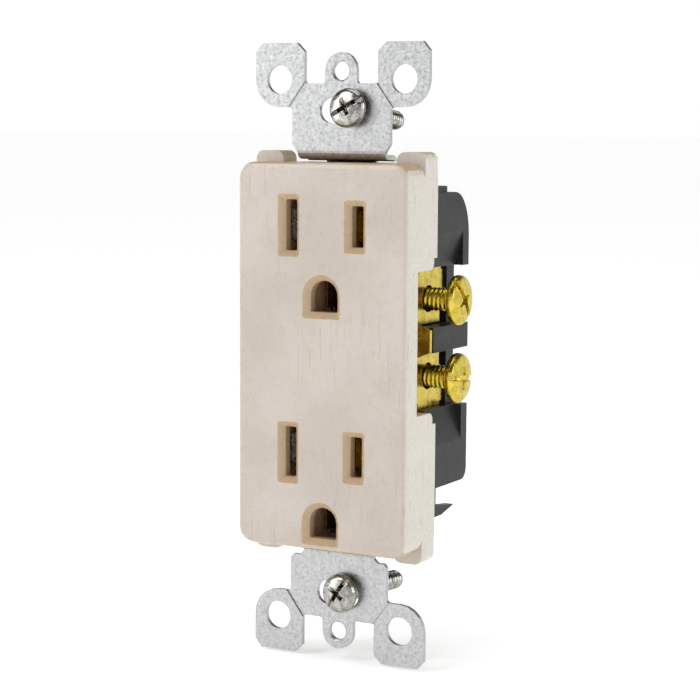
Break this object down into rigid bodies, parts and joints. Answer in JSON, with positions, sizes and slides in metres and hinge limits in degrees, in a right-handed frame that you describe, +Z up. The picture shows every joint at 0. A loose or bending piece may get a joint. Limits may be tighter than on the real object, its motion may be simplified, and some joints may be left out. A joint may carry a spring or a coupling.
{
  "type": "duplex wall outlet",
  "caption": "Duplex wall outlet with a rectangular face, side terminal screws, and a steel strap with break-off ears and captive mounting screws.",
  "frame": {"origin": "centre of the device on the front plane of the strap, which lies against the wall's surface", "axes": "+Z up along the strap, +Y into the wall, away from the face, +X to the right seen from the front"},
  "size_m": [0.0388, 0.0249, 0.1064],
  "materials": {
    "almond_plastic": "satin moulded",
    "black_plastic": "fine-textured matte",
    "zinc_strap": "zinc plated, mottled",
    "bright_zinc": "bright zinc",
    "brass": "bright yellow",
    "contact_brass": "dull",
    "nickel": "nickel plated",
    "green_screw": "green dyed zinc",
    "spring_steel": "bright"
  },
  "bodies": {
    "device": {"face_cover": "almond_plastic", "rear_body": "black_plastic", "mounting_strap": "zinc_strap", "hot_bus": "brass", "neutral_bus": "nickel", "upper_ground_contact": "contact_brass", "lower_ground_contact": "contact_brass", "upper_ground_rivet": "contact_brass", "lower_ground_rivet": "contact_brass"},
    "hot_upper_screw": {"hot_upper_screw": "brass"},
    "hot_lower_screw": {"hot_lower_screw": "brass"},
    "neutral_upper_screw": {"neutral_upper_screw": "nickel"},
    "neutral_lower_screw": {"neutral_lower_screw": "nickel"},
    "ground_screw": {"ground_screw": "green_screw"},
    "upper_mounting_screw": {"upper_mounting_screw": "bright_zinc"},
    "lower_mounting_screw": {"lower_mounting_screw": "bright_zinc"},
    "hot_upper_clip": {"hot_upper_clip": "spring_steel"},
    "hot_lower_clip": {"hot_lower_clip": "spring_steel"},
    "neutral_upper_clip": {"neutral_upper_clip": "spring_steel"},
    "neutral_lower_clip": {"neutral_lower_clip": "spring_steel"}
  },
  "joints": [
    {"name": "hot_upper_screw_travel", "type": "slide", "parent": "device", "child": "hot_upper_screw", "axis": [-1, 0, 0], "range_m": [0, 0.0048]},
    {"name": "hot_lower_screw_travel", "type": "slide", "parent": "device", "child": "hot_lower_screw", "axis": [-1, 0, 0], "range_m": [0, 0.0048]},
    {"name": "neutral_upper_screw_travel", "type": "slide", "parent": "device", "child": "neutral_upper_screw", "axis": [1, 0, 0], "range_m": [0, 0.0048]},
    {"name": "neutral_lower_screw_travel", "type": "slide", "parent": "device", "child": "neutral_lower_screw", "axis": [1, 0, 0], "range_m": [0, 0.0048]},
    {"name": "ground_screw_travel", "type": "slide", "parent": "device", "child": "ground_screw", "axis": [1, 0, 0], "range_m": [0, 0.0038]},
    {"name": "upper_mounting_screw_travel", "type": "slide", "parent": "device", "child": "upper_mounting_screw", "axis": [0.0054, 0.9936, -0.1131], "range_m": [-0.008, 0.0003]},
    {"name": "lower_mounting_screw_travel", "type": "slide", "parent": "device", "child": "lower_mounting_screw", "axis": [0.0916, 0.9946, -0.0485], "range_m": [-0.008, 0.0003]},
    {"name": "hot_upper_clip_bend", "type": "hinge", "parent": "device", "child": "hot_upper_clip", "pos_m": [0.009, 0.0155, 0.01637], "axis": [0, 0, -1], "range_deg": [0, 11], "stiffness_Nm_per_rad": 0.02},
    {"name": "hot_lower_clip_bend", "type": "hinge", "parent": "device", "child": "hot_lower_clip", "pos_m": [0.009, 0.0155, -0.01043], "axis": [0, 0, -1], "range_deg": [0, 11], "stiffness_Nm_per_rad": 0.02},
    {"name": "neutral_upper_clip_bend", "type": "hinge", "parent": "device", "child": "neutral_upper_clip", "pos_m": [-0.009, 0.0155, 0.01637], "axis": [0, 0, 1], "range_deg": [0, 11], "stiffness_Nm_per_rad": 0.02},
    {"name": "neutral_lower_clip_bend", "type": "hinge", "parent": "device", "child": "neutral_lower_clip", "pos_m": [-0.009, 0.0155, -0.01043], "axis": [0, 0, 1], "range_deg": [0, 11], "stiffness_Nm_per_rad": 0.02}
  ]
}
